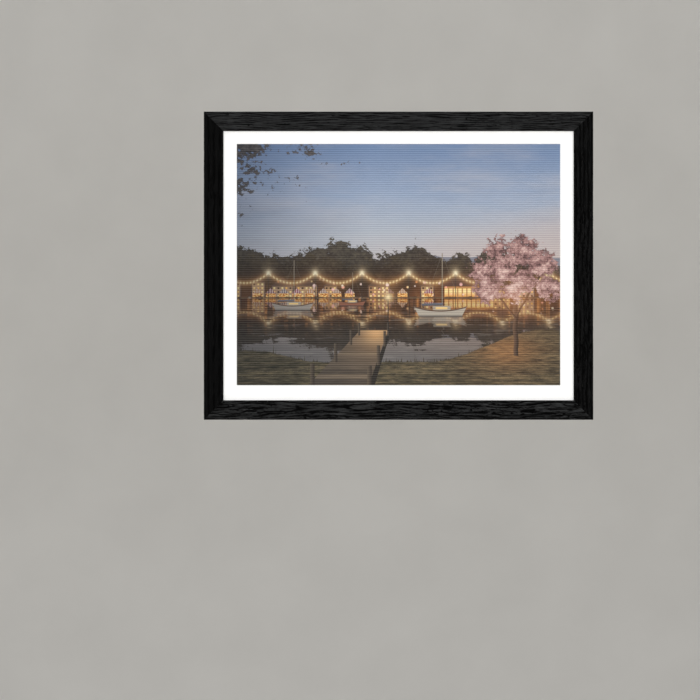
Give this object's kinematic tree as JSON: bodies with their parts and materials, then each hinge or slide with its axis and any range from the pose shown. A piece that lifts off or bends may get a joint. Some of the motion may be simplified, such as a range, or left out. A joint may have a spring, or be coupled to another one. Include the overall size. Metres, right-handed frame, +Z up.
{
  "type": "framed picture",
  "caption": "Wall-hung framed picture: mitred black wood frame, white window mat, landscape print under glass, hardboard back with tabs, sawtooth hanger and bumpers.",
  "frame": {"origin": "middle of the sawtooth hanger's rear face, where the frame meets the wall", "axes": "+X along the picture to the viewer's right, +Y out of the hanger's rear face into the wall, so the picture faces -Y, and +Z up"},
  "size_m": [0.7214, 0.025, 0.571],
  "materials": {
    "black_wood": "satin",
    "clear_glass": "gloss",
    "white_mat": "matte",
    "print_paper": "satin",
    "grey_board": "matte",
    "hardboard": "matte",
    "tab_steel": "satin",
    "nail_steel": "satin",
    "hanger_brass_finish": "satin",
    "screw_zinc": "satin",
    "bumper_rubber": "matte"
  },
  "bodies": {
    "root": {"top_rail": "black_wood", "top_tab_1": "tab_steel", "top_tab_2": "tab_steel", "top_tab_3": "tab_steel", "bottom_rail": "black_wood", "bottom_tab_1": "tab_steel", "bottom_tab_2": "tab_steel", "bottom_tab_3": "tab_steel", "left_rail": "black_wood", "left_tab_1": "tab_steel", "left_tab_2": "tab_steel", "right_rail": "black_wood", "right_tab_1": "tab_steel", "right_tab_2": "tab_steel", "nail_bottom_left_1": "nail_steel", "nail_bottom_left_2": "nail_steel", "nail_top_left_1": "nail_steel", "nail_top_left_2": "nail_steel", "nail_bottom_right_1": "nail_steel", "nail_bottom_right_2": "nail_steel", "nail_top_right_1": "nail_steel", "nail_top_right_2": "nail_steel", "glazing": "clear_glass", "window_mat": "white_mat", "art_print": "print_paper", "mounting_board": "grey_board", "back_panel": "hardboard", "sawtooth_hanger": "hanger_brass_finish", "hanger_screw_left": "screw_zinc", "wall_bumper_left": "bumper_rubber", "hanger_screw_right": "screw_zinc", "wall_bumper_right": "bumper_rubber"}
  },
  "joints": []
}
